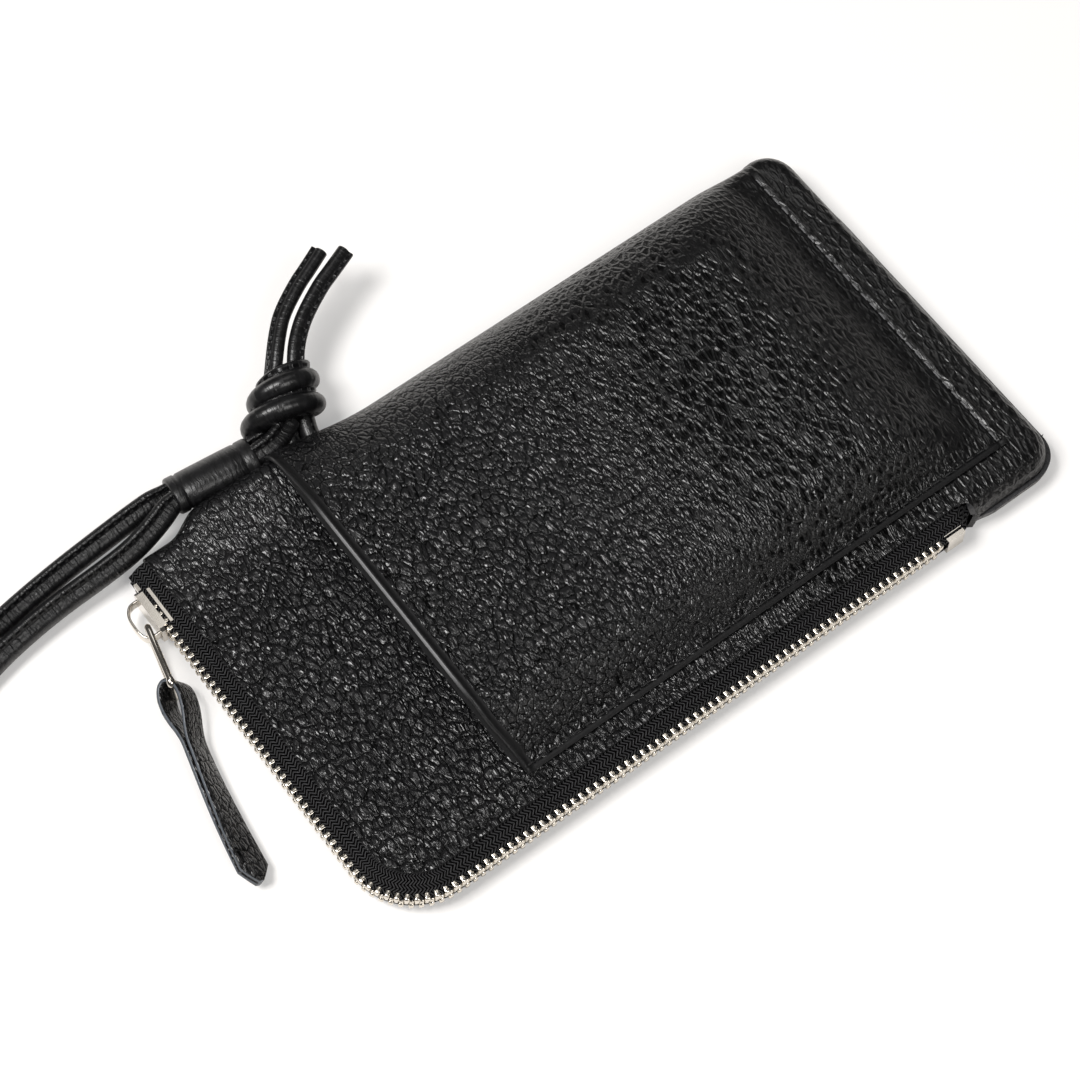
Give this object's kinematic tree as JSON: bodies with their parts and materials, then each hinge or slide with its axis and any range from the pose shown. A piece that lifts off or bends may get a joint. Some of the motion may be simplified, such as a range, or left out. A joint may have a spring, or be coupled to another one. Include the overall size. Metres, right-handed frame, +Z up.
{
  "type": "phone pouch",
  "caption": "Flat leather pouch with an L-shaped metal zip, an open phone pocket on its front, a leather zip pull and a knotted cord strap, wound up beside it.",
  "frame": {"origin": "Middle of the flat back face, on the surface that the pouch lies on.", "axes": "+Z is up, out of the front with the phone pocket. +X runs along the pouch from the zip slider's edge to the closed end. +Y points to the folded edge with the strap."},
  "size_m": [0.3013, 0.1475, 0.0208],
  "materials": {
    "leather": "pebbled grain, half matt",
    "strap_leather": "smooth rolled leather",
    "lining": "plain weave",
    "tape": "herringbone weave",
    "zip_metal": "bright nickel plate",
    "pale_thread": "waxed thread",
    "dark_thread": "waxed thread"
  },
  "bodies": {
    "pouch": {"front_panel": "leather", "back_panel": "leather", "phone_pocket": "leather", "strap_anchor": "strap_leather", "strap_strand_a": "strap_leather", "strap_strand_b": "strap_leather", "strap_sleeve": "strap_leather", "strap_knot": "strap_leather", "strap_knot_core": "strap_leather", "strap_tail_a": "strap_leather", "strap_tail_b": "strap_leather", "strap_coil": "strap_leather", "front_lining": "lining", "back_lining": "lining", "pocket_lining": "lining", "zip_tape_front": "tape", "zip_tape_back": "tape", "strap_coil_tie": "tape", "zip_teeth_front": "zip_metal", "zip_teeth_back": "zip_metal", "zip_top_stops": "zip_metal", "zip_bottom_stop": "zip_metal", "stitch_pocket_end": "pale_thread", "stitch_pocket_side": "dark_thread", "stitch_zip": "dark_thread"},
    "slider": {"slider_body": "zip_metal", "slider_crown": "zip_metal"},
    "link": {"pull_link": "zip_metal"},
    "tab": {"pull_tab": "leather"}
  },
  "joints": [
    {"name": "zip_slide", "type": "slide", "parent": "pouch", "child": "slider", "axis": [0, -1, 0], "range_m": [0, 0.07], "deforming": ["zip_teeth_front", "zip_teeth_back"]},
    {"name": "pull_swing", "type": "hinge", "parent": "slider", "child": "link", "pos_m": [-0.0982, 0.0376, 0.0055], "axis": [0, 0, -1], "range_deg": [-4, 40]},
    {"name": "tab_swing", "type": "hinge", "parent": "link", "child": "tab", "pos_m": [-0.10184, 0.02182, 0.0055], "axis": [0, 0, -1], "range_deg": [-8, 28]}
  ]
}
